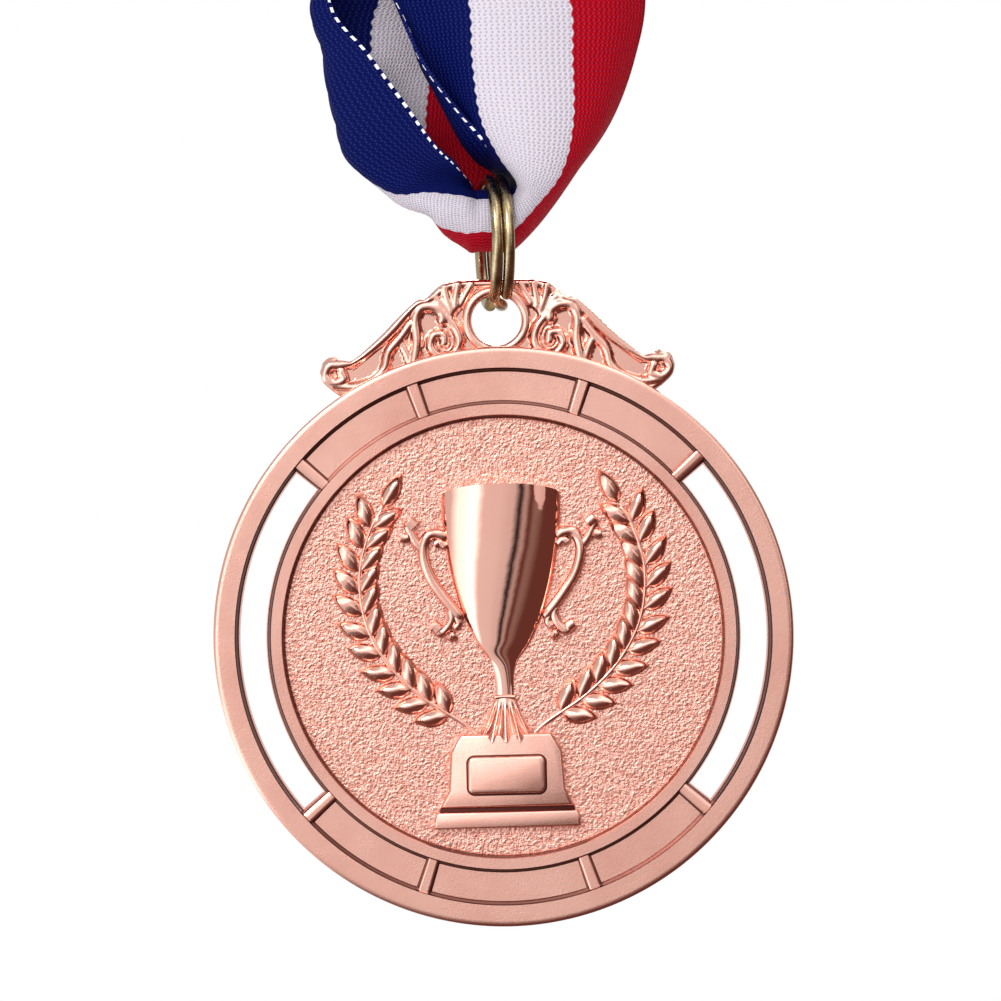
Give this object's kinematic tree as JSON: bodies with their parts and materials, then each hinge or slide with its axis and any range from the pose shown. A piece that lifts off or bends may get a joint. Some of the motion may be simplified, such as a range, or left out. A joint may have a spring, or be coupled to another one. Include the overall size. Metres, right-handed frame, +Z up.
{
  "type": "award medal on neck ribbon",
  "caption": "Round die-cast award medal with a trophy cup and laurel relief, hung by a split ring from a striped woven neck ribbon tied up as a hank.",
  "frame": {"origin": "centre of the peg that the ribbon's neck end hangs over", "axes": "+Z up, the medal's face looks towards -Y, +X to the right of the face"},
  "size_m": [0.0508, 0.0136, 0.1426],
  "materials": {
    "medal_metal": "rose gold plating, sandblasted field, polished cup",
    "ring_metal": "antique brass wire",
    "ribbon_cloth": "woven satin tape in blue, white and red stripes",
    "tie_band": "plain woven tape",
    "thread": "polyester sewing thread"
  },
  "bodies": {
    "ribbon": {"ribbon_run": "ribbon_cloth", "ribbon_hank": "ribbon_cloth", "hank_tie": "tie_band", "seam_thread": "thread"},
    "ring": {"split_ring": "ring_metal"},
    "medal": {"medal_casting": "medal_metal"}
  },
  "joints": [
    {"name": "ring_swing", "type": "hinge", "parent": "ribbon", "child": "ring", "pos_m": [0, 0, -0.07585], "axis": [0.9903, 0.1392, 0], "range_deg": [-40, 40]},
    {"name": "medal_swing", "type": "hinge", "parent": "ring", "child": "medal", "pos_m": [0, 0, -0.08265], "axis": [0, 1, 0], "range_deg": [-30, 30]}
  ]
}
